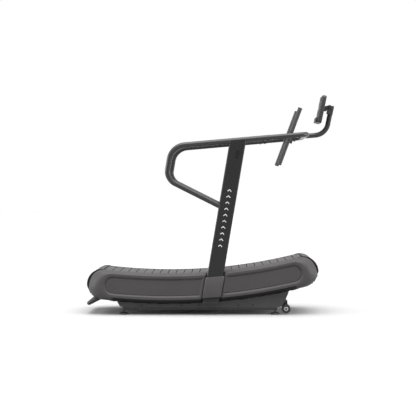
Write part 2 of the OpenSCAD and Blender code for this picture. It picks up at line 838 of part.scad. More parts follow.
right_side_plate();
left_side_plate();
base_cross_members();
deck_cross_tubes();
bearing_rails();
roller_axles();
support_rollers();
slat_bars();
running_slats();
return_slats();
drive_belts();
shaft_bearings();
belt_tensioners();
speed_sensor();
right_rear_cover();
right_front_cover();
left_rear_cover();
left_front_cover();
cover_brackets();
right_upright();
left_upright();
upright_sleeves();
upright_brackets();
upright_plugs();
right_handrail();
left_handrail();
front_handlebar();
handlebar_screws();
crossbar();
handle_clamps();
push_handles();
push_grips();
push_caps();
console_post();
console_fork();
carry_handle();
wheel_brackets();
wheel_bolts();
frame_bolts();
front_shaft();
front_pulleys();
rear_shaft();
rear_pulleys();
right_tyre();
right_hub();
left_tyre();
left_hub();
front_right_foot();
front_left_foot();
rear_right_foot();
rear_left_foot();
console_housing();
console_screen();
console_arm();
tablet_lip();
tilt_knob();
left_button();
middle_button();
right_button();
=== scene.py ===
"""Looks of the curved manual treadmill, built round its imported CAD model.

Everything is in metres in the CAD frame: +X is the running direction, +Z is
up and the runner's right side is -Y. Side -1 is the right, side +1 the left.
"""

import math

import bmesh
import bpy
from mathutils import Matrix, Vector


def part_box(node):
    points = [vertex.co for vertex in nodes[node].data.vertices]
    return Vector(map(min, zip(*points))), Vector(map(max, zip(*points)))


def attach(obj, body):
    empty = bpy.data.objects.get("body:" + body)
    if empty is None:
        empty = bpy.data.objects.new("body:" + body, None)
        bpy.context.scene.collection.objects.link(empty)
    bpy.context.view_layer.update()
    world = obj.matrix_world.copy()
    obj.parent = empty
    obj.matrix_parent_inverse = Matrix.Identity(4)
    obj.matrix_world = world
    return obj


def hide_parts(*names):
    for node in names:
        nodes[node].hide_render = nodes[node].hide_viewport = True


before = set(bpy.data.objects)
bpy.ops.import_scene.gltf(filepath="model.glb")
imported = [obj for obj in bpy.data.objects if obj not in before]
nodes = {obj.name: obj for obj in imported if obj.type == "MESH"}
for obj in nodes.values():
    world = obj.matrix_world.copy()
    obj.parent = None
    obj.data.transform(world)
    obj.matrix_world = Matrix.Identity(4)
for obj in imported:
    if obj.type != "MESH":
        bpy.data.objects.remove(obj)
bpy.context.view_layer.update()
SIDES = {"right": -1, "left": 1}

def middle(node):
    """Middle of a CAD node's box, to 0.1 mm, as its round faces have flats."""
    low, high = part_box(node)
    return Vector([round((a + b) / 2, 4) for a, b in zip(low, high)])


# ---------------------------------------------------------------- dimensions
# Running arc: its centre in the XZ plane, the radius on which the shafts lie
# and the shafts' angles, counted from straight below the centre
ARC_X, ARC_Z = -0.330, 4.406
SHAFT_R = 4.212
REAR_ANGLE, FRONT_ANGLE = math.radians(-6.74), math.radians(13.97)
# Belt: pads start PITCH_IN - PAD_T outside the pitch line
BELT_HALF = round(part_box("running_slats")[1][1], 4)
PITCH_IN = 0.012
WRAP_R = 0.100
SLATS = 61
SLAT_W = 0.0545
PAD_T = 0.004
PAD_CHAMFER, PAD_END_CHAMFER = 0.0014, 0.0016
GROOVE_W, GROOVE_D, PAD_RIBS = 0.0022, 0.0011, 6
# Covers: heights are from the middle arc, depths from the outer face
COVER_R = 4.203
COVER_IN, COVER_OUT = 0.250, round(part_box("left_front_cover")[1][1], 4)
RIM_H, PANEL_H, PANEL_D = 0.087, 0.062, 0.008
TOP_CROWN, LOW_CROWN = 0.017, 0.033
REAR_PANEL, FRONT_PANEL = math.radians(-5.5), math.radians(12.9)
REAR_COVER, FRONT_COVER = math.radians(-6.6), math.radians(13.87)
COVER_WALL = 0.003
UNDER_OUT = 0.3112
BEHIND_UPRIGHT = 0.337
ALONG_STEPS, ROUND_STEPS = 30, 40
# Beside the sleeve: distance from the cover's edge, share of the recess
PANEL_SIDE = ((0.0, 0.0), (0.013, 0.0), (0.016, 0.15), (0.023, 0.88), (0.027, 1.0))
RING_X, RING_Z = -0.737, 0.214
# Edge trims between the covers and the belt
TRIM_R, TRIM_IN, TRIM_OUT, TRIM_EDGE = 0.1132, 0.2435, 0.2500, 0.0012
# Uprights: foot of the centre line and lean; sleeves between radii of the arc
UPRIGHT_X, UPRIGHT_Z = -0.0065, 0.100
UPRIGHT_LEAN = math.radians(9.53)
SLEEVE_GAP = 0.071
SLEEVE_W, SLEEVE_T, SLEEVE_EDGE = 0.138, 0.060, 0.012
SLEEVE_TOP, SLEEVE_HEM, SLEEVE_LOW = COVER_R - 0.070, COVER_R + 0.081, COVER_R + 0.0995
SPLIT_X = 0.020
CHEVRONS, CHEVRON_LOW, CHEVRON_STEP = 10, 0.425, 0.0462
CHEVRON_IN, CHEVRON_OUT = 0.3948, 0.3953
# Rails, bars and the console's post: (x, z) of their corners, and bend radii
RAIL_Y, RAIL_Z = -middle("right_handrail").y, 1.284
RAIL_SLOPE = math.radians(4.97)
RAIL_R, BAR_R, POST_R = 0.020, 0.019, 0.019
SPLICE_X, BAR_X = 0.433, 0.707
RAIL_BACK_X, RAIL_LOW, RAIL_FOOT = -0.2973, (-0.3384, 1.0134), (0.075, 0.8057)
RAIL_BENDS, BAR_BENDS, POST_BEND = (0.125, 0.100), (0.070, 0.070), 0.105
POST_KNEE, TILT_PIN, PIN_TO_POST = (0.8735, 1.358), (0.9182, 1.5758), 0.0668
# Push handles: low end and lean of each, its grips' starts along it
PUSH_X, PUSH_Y, PUSH_Z = 0.505, 0.240, 1.121
PUSH_LEAN = math.radians(20.5)
PUSH_LENGTH, PUSH_TUBE_R, GRIP_R = 0.457, 0.0142, 0.0165
GRIP_STARTS, GRIP_LENGTH, GRIP_PITCH = (0.006, 0.264), 0.187, 0.0065
# Carry handle
CARRY_X, CARRY_Z, CARRY_Y = -0.925, 0.081, 0.290
CARRY_RISE = math.radians(27)
CARRY_REACH, CARRY_R, CARRY_BEND = 0.140, 0.015, 0.045
# Console
CONSOLE_C = middle("console_housing")
CONSOLE_LEAN = math.radians(11.6)
CONSOLE_W, CONSOLE_H, CONSOLE_T = 0.260, 0.212, 0.033
SCREEN_W, SCREEN_H, SCREEN_UP = CONSOLE_W - 0.044, 0.132, 0.026
BUTTON_STEP, BUTTON_UP, BUTTON_PROUD = 0.056, -0.058, 0.0016
BAR_HEIGHTS = (0.012, 0.020, 0.030, 0.024, 0.036, 0.044, 0.038, 0.050)
# Studio: strengths of the light by direction, the camera being in front
TOP_LIGHT, FRONT_LIGHT, END_LIGHT, FRONT_DIP = 6.2, 0.65, 7.0, 0.50
TOP_FROM = Vector((0, -0.3, 0.95)).normalized()
TOP_FOCUS, END_FOCUS, FRONT_FOCUS = 4.0, 12.0, 4.0
FLOOR_WHITE, FLOOR_HALF = 0.38, 40
CAMERA_AT, CAMERA_AIM, CAMERA_LENS = Vector((0.077, -10.4, 0.947)), Vector((-0.031, 0, 0.793)), 116.94


# ------------------------------------------------------------------ materials
def node_of(tree, kind, **values):
    """Adds a shader node, setting its properties or input sockets by name."""
    node = tree.nodes.new(kind)
    for key, value in values.items():
        name = key.replace("_", " ")
        if hasattr(node, key):
            setattr(node, key, value)
        else:
            node.inputs[name].default_value = value
    return node


def spread(tree, coords, scale, low, high, detail=3.0, stretch=None):
    """Noise over the object, mapped to the range low to high."""
    link = tree.links.new
    source = coords.outputs["Object"]
    if stretch:
        mapping = tree.nodes.new("ShaderNodeMapping")
        mapping.inputs["Scale"].default_value = stretch
        link(source, mapping.inputs["Vector"])
        source = mapping.outputs["Vector"]
    noise = node_of(tree, "ShaderNodeTexNoise", Scale=scale, Detail=detail)
    link(source, noise.inputs["Vector"])
    ranged = tree.nodes.new("ShaderNodeMapRange")
    for socket, value in (("From Min", 0.3), ("From Max", 0.7), ("To Min", low), ("To Max", high)):
        ranged.inputs[socket].default_value = value
    link(noise.outputs["Fac"], ranged.inputs["Value"])
    return ranged.outputs["Result"]


def finish(name, colour, rough, metallic=0.0, tone=0.10, grain=700.0, bump=0.12,
           depth=0.0003, patch=7.0, stretch=None, specular=0.5):
    """A procedural finish: grain in the bump, patches in colour and gloss."""
    material = bpy.data.materials.new(name)
    material.use_nodes = True
    tree = material.node_tree
    link = tree.links.new
    shader = tree.nodes["Principled BSDF"]
    shader.inputs["Metallic"].default_value = metallic
    shader.inputs["Specular IOR Level"].default_value = specular
    coords = tree.nodes.new("ShaderNodeTexCoord")

    mix = tree.nodes.new("ShaderNodeMix")
    mix.data_type = "RGBA"
    low, high = (s for s in mix.inputs if s.type == "RGBA")
    low.default_value = (*[c * (1 - tone) for c in colour], 1)
    high.default_value = (*[c * (1 + tone) for c in colour], 1)
    link(spread(tree, coords, patch, 0.0, 1.0, stretch=stretch), mix.inputs[0])
    mixed = next(s for s in mix.outputs if s.type == "RGBA")
    link(mixed, shader.inputs["Base Color"])

    link(spread(tree, coords, patch * 9, rough - 0.05, rough + 0.05, stretch=stretch),
         shader.inputs["Roughness"])
    relief = node_of(tree, "ShaderNodeBump", Strength=bump, Distance=depth)
    link(spread(tree, coords, grain, 0.0, 1.0, detail=2.0, stretch=stretch), relief.inputs["Height"])
    link(relief.outputs["Normal"], shader.inputs["Normal"])
    return material


ALONG_Y = (1.0, 0.02, 1.0)
LOOKS = {
    "frame_dark": finish("coat_black", (0.026, 0.0245, 0.0245), 0.42, specular=0.4),
    "frame_charcoal": finish("coat_charcoal", (0.013, 0.0122, 0.0123), 0.28, bump=0.03,
                             specular=0.5),
    "sleeve_charcoal": finish("sleeve_moulding", (0.036, 0.0335, 0.0337), 0.42, grain=520,
                              specular=0.45),
    "cover_plastic": finish("cover_moulding", (0.034, 0.0315, 0.0317), 0.52, grain=480,
                            tone=0.06, bump=0.10, specular=0.35),
    "slat_rubber": finish("slat_rubber", (0.052, 0.050, 0.049), 0.55, grain=260, bump=0.35,
                          depth=0.0005, tone=0.16),
    "belt_rubber": finish("belt_rubber", (0.014, 0.014, 0.014), 0.62, grain=300, bump=0.3),
    "slat_aluminium": finish("slat_aluminium", (0.50, 0.51, 0.52), 0.36, metallic=1.0,
                             stretch=ALONG_Y, grain=900, tone=0.08),
    "bar_black": finish("anodised_black", (0.018, 0.018, 0.019), 0.40, metallic=0.5,
                        stretch=ALONG_Y, grain=900),
    "bright_steel": finish("zinc_steel", (0.50, 0.51, 0.52), 0.30, metallic=1.0, tone=0.12),
    "black_steel": finish("black_oxide", (0.010, 0.010, 0.010), 0.42, metallic=0.3),
    "black_plastic": finish("black_plastic", (0.016, 0.016, 0.017), 0.45, grain=600),
    "grip_rubber": finish("grip_rubber", (0.040, 0.039, 0.039), 0.55, grain=420, bump=0.3),
    "wheel_rubber": finish("wheel_rubber", (0.013, 0.013, 0.013), 0.55, grain=350, bump=0.25),
    "screen_glass": finish("screen_glass", (0.006, 0.007, 0.009), 0.35, tone=0.05, grain=40,
                           bump=0.01, specular=0.3),
    "button_grey": finish("button_grey", (0.10, 0.10, 0.105), 0.42),
    "hub_light": finish("hub_light", (0.78, 0.78, 0.77), 0.34, tone=0.05),
    "plate_grey": finish("plate_grey", (0.035, 0.033, 0.033), 0.42, specular=0.4),
    # Black of the edge trims, also used as painted shade under the covers and sleeves
    "black_trim_and_painted_shade": finish("black_trim_and_painted_shade", (0.006, 0.006, 0.006), 0.6, grain=300, specular=0.2),
    "upright_charcoal": finish("upright_charcoal", (0.0105, 0.0098, 0.0099), 0.34, bump=0.02,
                               specular=0.30),
    "handle_black": finish("handle_black", (0.010, 0.0096, 0.0096), 0.36, specular=0.4),
    "cap_black": finish("cap_black", (0.005, 0.005, 0.005), 0.5, grain=500, specular=0.2),
    "mark_grey": finish("mark_grey", (0.50, 0.50, 0.50), 0.45, tone=0.05),
    "display_grey": finish("display_grey", (0.20, 0.24, 0.27), 0.35, tone=0.05),
}


# -------------------------------------------------------------- mesh helpers
def piece(name, verts, faces, body, slot, stands_for=(), smooth=True, look=None):
    """Makes a mesh piece that rides on a body."""
    mesh = bpy.data.meshes.new(name)
    mesh.from_pydata([tuple(v) for v in verts], [], faces)
    mesh.validate()
    bm = bmesh.new()
    bm.from_mesh(mesh)
    bmesh.ops.remove_doubles(bm, verts=bm.verts, dist=2e-6)
    bmesh.ops.dissolve_degenerate(bm, dist=1e-6, edges=bm.edges)
    bmesh.ops.recalc_face_normals(bm, faces=bm.faces)
    bm.to_mesh(mesh)
    bm.free()
    if smooth:
        mesh.shade_smooth()
        mesh.set_sharp_from_angle(angle=math.radians(38))
    obj = bpy.data.objects.new(name, mesh)
    bpy.context.scene.collection.objects.link(obj)
    mesh.materials.append(LOOKS[look or slot])
    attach(obj, body)
    if stands_for:
        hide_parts(*stands_for)
    return obj


def joined(parts):
    """Joins (verts, faces) parts into one."""
    verts, faces = [], []
    for v, f in parts:
        base = len(verts)
        verts.extend(v)
        faces.extend([tuple(i + base for i in face) for face in f])
    return verts, faces


def moved(part, matrix):
    """A part with a matrix applied; a mirroring one is fine, as normals are
    worked out afterwards."""
    return [matrix @ Vector(v) for v in part[0]], part[1]


def skin(rings, closed=True, caps=True):
    """Faces over rings of equal length; caps closes the ends."""
    n = len(rings[0])
    verts = [v for ring in rings for v in ring]
    faces = []
    last = n if closed else n - 1
    for i in range(len(rings) - 1):
        for j in range(last):
            k = (j + 1) % n
            faces.append((i * n + j, i * n + k, (i + 1) * n + k, (i + 1) * n + j))
    if caps:
        faces.append(tuple(reversed(range(n))))
        faces.append(tuple((len(rings) - 1) * n + j for j in range(n)))
    return verts, faces


def lathe(profile, origin, axis, steps=48, closed=False):
    """Turns (distance along, radius) pairs round an axis. A closed profile is
    a ring's section; an open one starts and ends on the axis or is capped."""
    axis = Vector(axis).normalized()
    u = axis.orthogonal().normalized()
    w = axis.cross(u)
    rings = []
    for along, radius in profile + ([profile[0]] if closed else []):
        rings.append([Vector(origin) + axis * along
                      + (u * math.cos(a) + w * math.sin(a)) * radius
                      for a in (2 * math.pi * k / steps for k in range(steps))])
    return skin(rings, caps=not closed)


def rounded_path(points, radii, step=math.radians(5)):
    """Points with their corners turned into arcs of the given radii."""
    points = [Vector(p) for p in points]
    path = [points[0]]
    for i in range(1, len(points) - 1):
        a = (points[i] - points[i - 1]).normalized()
        b = (points[i + 1] - points[i]).normalized()
        angle = a.angle(b)
        reach = radii[i - 1] * math.tan(angle / 2)
        normal = (b - a * a.dot(b)).normalized()
        centre = points[i] - a * reach + normal * radii[i - 1]
        count = max(2, round(angle / step))
        for k in range(count + 1):
            t = angle * k / count
            path.append(centre + (a * math.sin(t) - normal * math.cos(t)) * radii[i - 1])
    path.append(points[-1])
    return path


def tube(path, radius, side_hint, steps=32, bore=0.0025):
    """A hollow tube swept along a path; side_hint is never along the path."""
    rings = []
    inner = []
    for i, p in enumerate(path):
        ahead = path[min(i + 1, len(path) - 1)]
        behind = path[max(i - 1, 0)]
        along = (ahead - behind).normalized()
        u = along.cross(Vector(side_hint)).normalized()
        w = along.cross(u)
        circle = [(u * math.cos(a) + w * math.sin(a))
                  for a in (2 * math.pi * k / steps for k in range(steps))]
        rings.append([p + c * radius for c in circle])
        inner.append([p + c * (radius - bore) for c in circle])
    return skin(rings + inner[::-1] + rings[:1], caps=False)


def outline(width, height, corner, steps=6):
    """Rounded rectangle as (u, v) points."""
    points = []
    for cu, cv, start in ((1, 1, 0), (-1, 1, 90), (-1, -1, 180), (1, -1, 270)):
        for k in range(steps + 1):
            a = math.radians(start + 90 * k / steps)
            points.append((cu * (width / 2 - corner) + corner * math.cos(a),
                           cv * (height / 2 - corner) + corner * math.sin(a)))
    return points


def slab(width, height, levels, corner, place):
    """Rounded slab: levels are (depth, inset) pairs, place turns
    (depth, u, v) into a point."""
    rings = []
    for depth, inset in levels:
        ring = outline(width - 2 * inset, height - 2 * inset, max(corner - inset, 0.0004))
        rings.append([place(depth, u, v) for u, v in ring])
    return skin(rings)


def eased(depth_a, depth_b, edge, steps=4):
    """Levels of a slab from depth a to b with both edges rounded."""
    near = []
    sign = 1 if depth_b > depth_a else -1
    for k in range(steps, -1, -1):
        t = math.radians(90 * k / steps)
        near.append((depth_a + sign * edge * (1 - math.sin(t)), edge * (1 - math.cos(t))))
    far = [(depth_b - (depth - depth_a), inset) for depth, inset in reversed(near)]
    return near + far


def dress(names, slot, bevel=0.0, look=None):
    """Gives CAD nodes their finish, and soft edges where bevel says so."""
    for name in names:
        obj = nodes[name]
        obj.data.materials.clear()
        obj.data.materials.append(LOOKS[look or slot])
        if bevel:
            weld = obj.modifiers.new("weld", "WELD")
            weld.merge_threshold = 1e-5
            soft = obj.modifiers.new("bevel", "BEVEL")
            soft.width = bevel
            soft.segments = 2
            soft.limit_method = "ANGLE"
            soft.angle_limit = math.radians(40)
            even = obj.modifiers.new("normals", "WEIGHTED_NORMAL")
            even.keep_sharp = True


# ------------------------------------------------------------- side covers
def on_arc(r, t):
    """Point (x, z) at radius r and angle t of the running arc."""
    return ARC_X + r * math.sin(t), ARC_Z - r * math.cos(t)


def upright_edge(r, offset):
    """Angle at which the arc of radius r meets a line beside the upright."""
    t = 0.08
    for _ in range(20):
        z = ARC_Z - r * math.cos(t)
        x = UPRIGHT_X + (z - UPRIGHT_Z) * math.tan(UPRIGHT_LEAN) + offset
        t = math.asin((x - ARC_X) / r)
    return t


def smooth_step(share):
    """Eases from 0 to 1 as share goes from 0 to 1."""
    share = min(1.0, max(0.0, share))
    return share * share * (3 - 2 * share)


def cover_rows():
    """Rows of a cover from the belt's edge to the middle of the panel:
    (distance out, height above the middle, height below it, share towards
    the panel's end, depth of the recess). A groove runs round the panel."""
    rows = []
    for degrees in (0, 6, 14, 23, 32, 40.12, 49, 58, 66, 73, 79, 84, 88, 90):
        a = math.radians(degrees)
        rows.append((COVER_IN + (COVER_OUT - COVER_IN) * math.sin(a),
                     RIM_H + TOP_CROWN * math.cos(a) - 0.0025 * math.sin(2 * a),
                     RIM_H + LOW_CROWN * math.cos(a) * (1 + 0.08 * math.sin(2 * a)),
                     1 - math.cos(a), 0.0))
    lip = PANEL_H + 0.008
    for height, depth in ((lip + 0.003, 0), (lip + 0.001, 0.0004), (lip - 0.001, 0.0014),
                          (lip - 0.003, 0.0031), (lip - 0.0085, 0.0086), (lip - 0.0105, 0.0101),
                          (lip - 0.0125, 0.0108), (lip - 0.0150, PANEL_D),
                          (0.042, PANEL_D), (0.030, PANEL_D), (0.016, PANEL_D), (0.0, PANEL_D)):
        rows.append((COVER_OUT, height, height, 1.0, depth))
    return rows


def cover_end(rear, share):
    """Centre of a row's round end, and its up and outward directions."""
    panel, belt = (REAR_PANEL, REAR_COVER) if rear else (FRONT_PANEL, FRONT_COVER)
    end = belt + (panel - belt) * share
    sign = -1 if rear else 1
    return (end, on_arc(COVER_R, end), (-math.sin(end), math.cos(end)),
            (sign * math.cos(end), sign * math.sin(end)))


def end_radius(a, top, low):
    """Radius of a round end, a radians from its top: low grows into the
    lower quarter, where the cover hides the belt."""
    return top + (low - top) * smooth_step((math.degrees(a) - 75) / 60)


def cover_row(row, rear):
    """Points (x, out, z) of one row, from the upright over the top, round the
    end and back below; None where the row has no point."""
    out, top, low, share, depth = row
    end, centre, up, away = cover_end(rear, share)
    sign = -1 if rear else 1

    def straight(r, below):
        """The row's part along the arc, from the upright to the round end."""
        edge = upright_edge(r, sign * SLEEVE_GAP)
        split = math.asin((SPLIT_X - ARC_X) / r)
        behind = out <= BEHIND_UPRIGHT + 1e-4
        line = [(split + (edge - split) * k / 4, 0.0) if behind else None for k in range(4)]
        line += [(edge + sign * reach / r, depth * part) for reach, part in PANEL_SIDE]
        start = line[-1][0]
        line += [(start + (end - start) * k / ALONG_STEPS, depth)
                 for k in range(1, ALONG_STEPS + 1)]
        made = []
        for item in line:
            if item is None:
                made.append(None)
                continue
            t, recess = item
            x, z = on_arc(r, t)
            y = out - recess
            if below:
                near = smooth_step((abs(t - end) * r - 0.015) / 0.07)
                y = max(y, COVER_IN + (UNDER_OUT - COVER_IN) * near)
            made.append((x, y, z))
        return made

    points = straight(COVER_R - top, False)
    for k in range(1, ROUND_STEPS):
        a = math.pi * k / ROUND_STEPS
        r = end_radius(a, top, low)
        points.append((centre[0] + r * (up[0] * math.cos(a) + away[0] * math.sin(a)),
                       out - depth,
                       centre[1] + r * (up[1] * math.cos(a) + away[1] * math.sin(a))))
    points.extend(reversed(straight(COVER_R + low, True)))
    return points


def cover_mesh(rear, side):
    """Outer surface of one cover; a row's missing points leave a gap."""
    rows = [cover_row(row, rear) for row in cover_rows()]
    verts, index = [], {}
    for i, row in enumerate(rows):
        for j, p in enumerate(row):
            if p is not None:
                index[i, j] = len(verts)
                verts.append((p[0], side * p[1], p[2]))
    faces = []
    for i in range(len(rows) - 1):
        for j in range(len(rows[0]) - 1):
            corners = [index.get(c) for c in ((i, j), (i, j + 1), (i + 1, j + 1), (i + 1, j))]
            if None not in corners:
                faces.append(tuple(corners))
    return verts, faces


def paint_shade(obj, in_shade):
    """Gives the faces whose middle passes the test the black trim finish, as painted shade."""
    obj.data.materials.append(LOOKS["black_trim_and_painted_shade"])
    for face in obj.data.polygons:
        x, _, z = face.center
        angle = math.atan2(x - ARC_X, ARC_Z - z)
        radius = math.hypot(x - ARC_X, ARC_Z - z)
        if in_shade(radius, angle):
            face.material_index = 1


# Painted shade: faces of the cover's lower crown, below the rim, are painted black as shadow
def shaded_underside(radius, angle):
    return radius - COVER_R > RIM_H + 0.002 and REAR_PANEL < angle < FRONT_PANEL


def build_covers():
    """Four side covers whose undersides are painted black as painted shade, and a plain ring on each
    rear panel.
    """
    for side_name, side in SIDES.items():
        for end, rear in (("rear", True), ("front", False)):
            node = f"{side_name}_{end}_cover"
            obj = piece(f"{node}_shell", *cover_mesh(rear, side), "chassis", "cover_plastic",
                        [node])
            facing = sum(p.normal.y * p.area for p in obj.data.polygons)
            if facing * side < 0:
                obj.data.flip_normals()
            # Painted shade: the cover's underside takes the black finish
            paint_shade(obj, shaded_underside)
            wall = obj.modifiers.new("wall", "SOLIDIFY")
            wall.thickness = COVER_WALL
            wall.offset = -1
            wall.use_even_offset = False
        ring = lathe([(0, 0.0165), (0.0012, 0.0172), (0.0015, 0.018), (0.0015, 0.021),
                      (0.0012, 0.0218), (0, 0.0225), (-0.001, 0.0195)],
                     (RING_X, side * (COVER_OUT - PANEL_D), RING_Z), (0, side, 0), 64, closed=True)
        piece(f"{side_name}_panel_ring", *ring, "chassis", "cover_plastic")


def build_edge_trims():
    """Black edge strips that close the gap between each cover's inner rim and
    the belt where it turns."""
    rim = cover_rows()[0]
    for side_name, side in SIDES.items():
        for name, rear, shaft in (("rear", True, REAR_ANGLE), ("front", False, FRONT_ANGLE)):
            _, centre, up, away = cover_end(rear, 0.0)
            hub = on_arc(SHAFT_R, shaft)
            rings = []
            for k in range(61):
                a = math.radians(-22 + 144 * k / 60)
                taper = min(1.0, k / 8, (60 - k) / 8)
                way = [up[i] * math.cos(a) + away[i] * math.sin(a) for i in (0, 1)]
                inner = [centre[i] + way[i] * (end_radius(max(a, 0), rim[1], rim[2]) - 0.003)
                         for i in (0, 1)]
                outer = [hub[i] + way[i] * TRIM_R for i in (0, 1)]
                outer = [inner[i] + way[i] * 0.0025 + (outer[i] - inner[i]) * taper
                         for i in (0, 1)]
                shy = [outer[i] - way[i] * TRIM_EDGE for i in (0, 1)]
                rings.append([Vector((x, side * y, z)) for (x, z), y in
                              ((inner, TRIM_IN), (shy, TRIM_IN), (outer, TRIM_IN + TRIM_EDGE),
                               (outer, TRIM_OUT - TRIM_EDGE), (shy, TRIM_OUT), (inner, TRIM_OUT))])
            piece(f"{side_name}_{name}_edge_trim", *skin(rings), "chassis", "belt_rubber",
                  look="black_trim_and_painted_shade")


# -------------------------------------------------------------------- belt
def belt_places():
    """Middle of each slat on the pitch line (x, z and turn about Y), and how
    many of them lie on the running surface."""
    top_r = SHAFT_R - WRAP_R
    low_r = SHAFT_R + WRAP_R
    sweep = FRONT_ANGLE - REAR_ANGLE
    lengths = (top_r * sweep, math.pi * WRAP_R, low_r * sweep, math.pi * WRAP_R)
    pitch = sum(lengths) / SLATS
    places = []
    for i in range(SLATS):
        s = (i + 0.5) * pitch
        if s < lengths[0]:
            t = REAR_ANGLE + s / top_r
            places.append((*on_arc(top_r, t), -t))
            continue
        s -= lengths[0]
        if s < lengths[1]:
            turn, centre = s / WRAP_R - FRONT_ANGLE, on_arc(SHAFT_R, FRONT_ANGLE)
        elif s < lengths[1] + lengths[2]:
            t = FRONT_ANGLE - (s - lengths[1]) / low_r
            places.append((*on_arc(low_r, t), math.pi - t))
            continue
        else:
            turn = math.pi - REAR_ANGLE + (s - lengths[1] - lengths[2]) / WRAP_R
            centre = on_arc(SHAFT_R, REAR_ANGLE)
        places.append((centre[0] + WRAP_R * math.sin(turn), centre[1] + WRAP_R * math.cos(turn),
                       turn))
    return places, int(lengths[0] / pitch)


def pad_section():
    """Section of a rubber pad: along the belt, height above its bar."""
    half = SLAT_W / 2
    chamfer, flank = PAD_CHAMFER, 0.0004
    points = [(-half, 0), (-half, PAD_T - chamfer), (-half + chamfer, PAD_T)]
    rib_pitch = (SLAT_W - 2 * chamfer) / PAD_RIBS
    for k in range(1, PAD_RIBS):
        x = -half + chamfer + k * rib_pitch
        near, far = x - GROOVE_W / 2, x + GROOVE_W / 2
        points += [(near - flank, PAD_T), (near, PAD_T - GROOVE_D),
                   (far, PAD_T - GROOVE_D), (far + flank, PAD_T)]
    points += [(half - chamfer, PAD_T), (half, PAD_T - chamfer), (half, 0)]
    return points


def build_belt():
    """Ribbed rubber pads of the slats, in the CAD's two groups."""
    places, on_top = belt_places()
    section = pad_section()
    rings = []
    end = PAD_END_CHAMFER
    for y, inset in ((-BELT_HALF, end), (-BELT_HALF + end, 0), (BELT_HALF - end, 0),
                     (BELT_HALF, end)):
        rings.append([Vector((x, y, PITCH_IN - PAD_T + min(z, PAD_T - inset)))
                      for x, z in section])
    pad = skin(rings)
    groups = {"running": places[:on_top], "return": places[on_top:]}
    for name, group in groups.items():
        parts = [moved(pad, Matrix.Translation((x, 0, z)) @ Matrix.Rotation(turn, 4, "Y"))
                 for x, z, turn in group]
        piece(f"{name}_slat_pads", *joined(parts), "chassis", "slat_rubber",
              [f"{name}_slats"])


# ------------------------------------------------------------ rails and bars
def rail_z(x):
    """Height of the rails' centre line."""
    return RAIL_Z + x * math.tan(RAIL_SLOPE)


def build_rails():
    """Handrail loops, the bar that joins them in front and the console's post."""
    for name, side in SIDES.items():
        corners = ((SPLICE_X, rail_z(SPLICE_X)), (RAIL_BACK_X, rail_z(RAIL_BACK_X)), RAIL_LOW,
                   RAIL_FOOT)
        path = rounded_path([(x, side * RAIL_Y, z) for x, z in corners], RAIL_BENDS)
        piece(f"{name}_handrail_tube", *tube(path, RAIL_R, (0, 1, 0)), "chassis",
              "frame_charcoal", [f"{name}_handrail"])
    bar_z = rail_z(BAR_X)
    across = Vector((-math.sin(RAIL_SLOPE), 0, math.cos(RAIL_SLOPE)))
    path = rounded_path([(SPLICE_X, -RAIL_Y, rail_z(SPLICE_X)), (BAR_X, -RAIL_Y, bar_z),
                         (BAR_X, RAIL_Y, bar_z), (SPLICE_X, RAIL_Y, rail_z(SPLICE_X))],
                        BAR_BENDS)
    piece("front_handlebar_tube", *tube(path, BAR_R, across), "chassis", "frame_charcoal",
          ["front_handlebar"])
    up = Vector((math.sin(CONSOLE_LEAN), 0, math.cos(CONSOLE_LEAN)))
    top = Vector((TILT_PIN[0], 0, TILT_PIN[1])) - up * PIN_TO_POST
    path = rounded_path([(BAR_X + 0.013, 0, bar_z + 0.001), (POST_KNEE[0], 0, POST_KNEE[1]), top],
                        (POST_BEND,))
    piece("console_post_tube", *tube(path, POST_R, (0, 1, 0)), "chassis", "frame_charcoal",
          ["console_post"])


def grip_profile(start):
    """Section of a ribbed grip that begins at start along its handle."""
    edge, groove = 0.0012, 0.0011
    end = start + GRIP_LENGTH
    profile = [(start, PUSH_TUBE_R), (start, GRIP_R - edge), (start + edge, GRIP_R)]
    at = start + 0.008
    while at < end - 0.006:
        profile += [(at, GRIP_R), (at + 0.0008, GRIP_R - groove), (at + 0.0022, GRIP_R - groove),
                    (at + 0.003, GRIP_R)]
        at += GRIP_PITCH
    return profile + [(end - edge, GRIP_R), (end, GRIP_R - edge), (end, PUSH_TUBE_R)]


def build_push_handles():
    """Ribbed grips and end caps of the push handles."""
    along = Vector((math.sin(PUSH_LEAN), 0, math.cos(PUSH_LEAN)))
    cap = [(0, 0.0002), (0, 0.011), (0.0008, 0.0142), (0.0024, 0.0160), (0.0042, GRIP_R),
           (0.006, GRIP_R), (0.006, 0.0002)]
    grips, caps = [], []
    for side in SIDES.values():
        foot = Vector((PUSH_X, side * PUSH_Y, PUSH_Z))
        grips += [lathe(grip_profile(start), foot, along, 40, closed=True)
                  for start in GRIP_STARTS]
        caps.append(lathe(cap, foot, along, 40))
        caps.append(lathe(cap, foot + along * PUSH_LENGTH, -along, 40))
    piece("push_grip_sleeves", *joined(grips), "chassis", "grip_rubber", ["push_grips"])
    piece("push_end_caps", *joined(caps), "chassis", "black_plastic", ["push_caps"])


def build_carry_handle():
    """Bent bar at the rear with the blocks that hold its ends."""
    along = Vector((math.cos(CARRY_RISE), 0, math.sin(CARRY_RISE)))
    up = Vector((-math.sin(CARRY_RISE), 0, math.cos(CARRY_RISE)))
    grip = Vector((CARRY_X, 0, CARRY_Z))
    reach = CARRY_REACH / math.cos(CARRY_RISE)
    side = Vector((0, CARRY_Y, 0))
    path = rounded_path([grip + along * reach - side, grip - side, grip + side,
                         grip + along * reach + side], (CARRY_BEND, CARRY_BEND))
    parts = [tube(path, CARRY_R, up)]
    for sign in (-1, 1):
        block = grip + along * (reach + 0.012) + Vector((0, sign * (CARRY_Y + 0.003), 0))
        parts.append(slab(0.026, 0.028, eased(-0.013, 0.013, 0.003), 0.003,
                          lambda d, u, v: block + along * d + Vector((0, u, 0)) + up * v))
    piece("carry_handle_tube", *joined(parts), "chassis", "frame_dark", ["carry_handle"],
          look="handle_black")


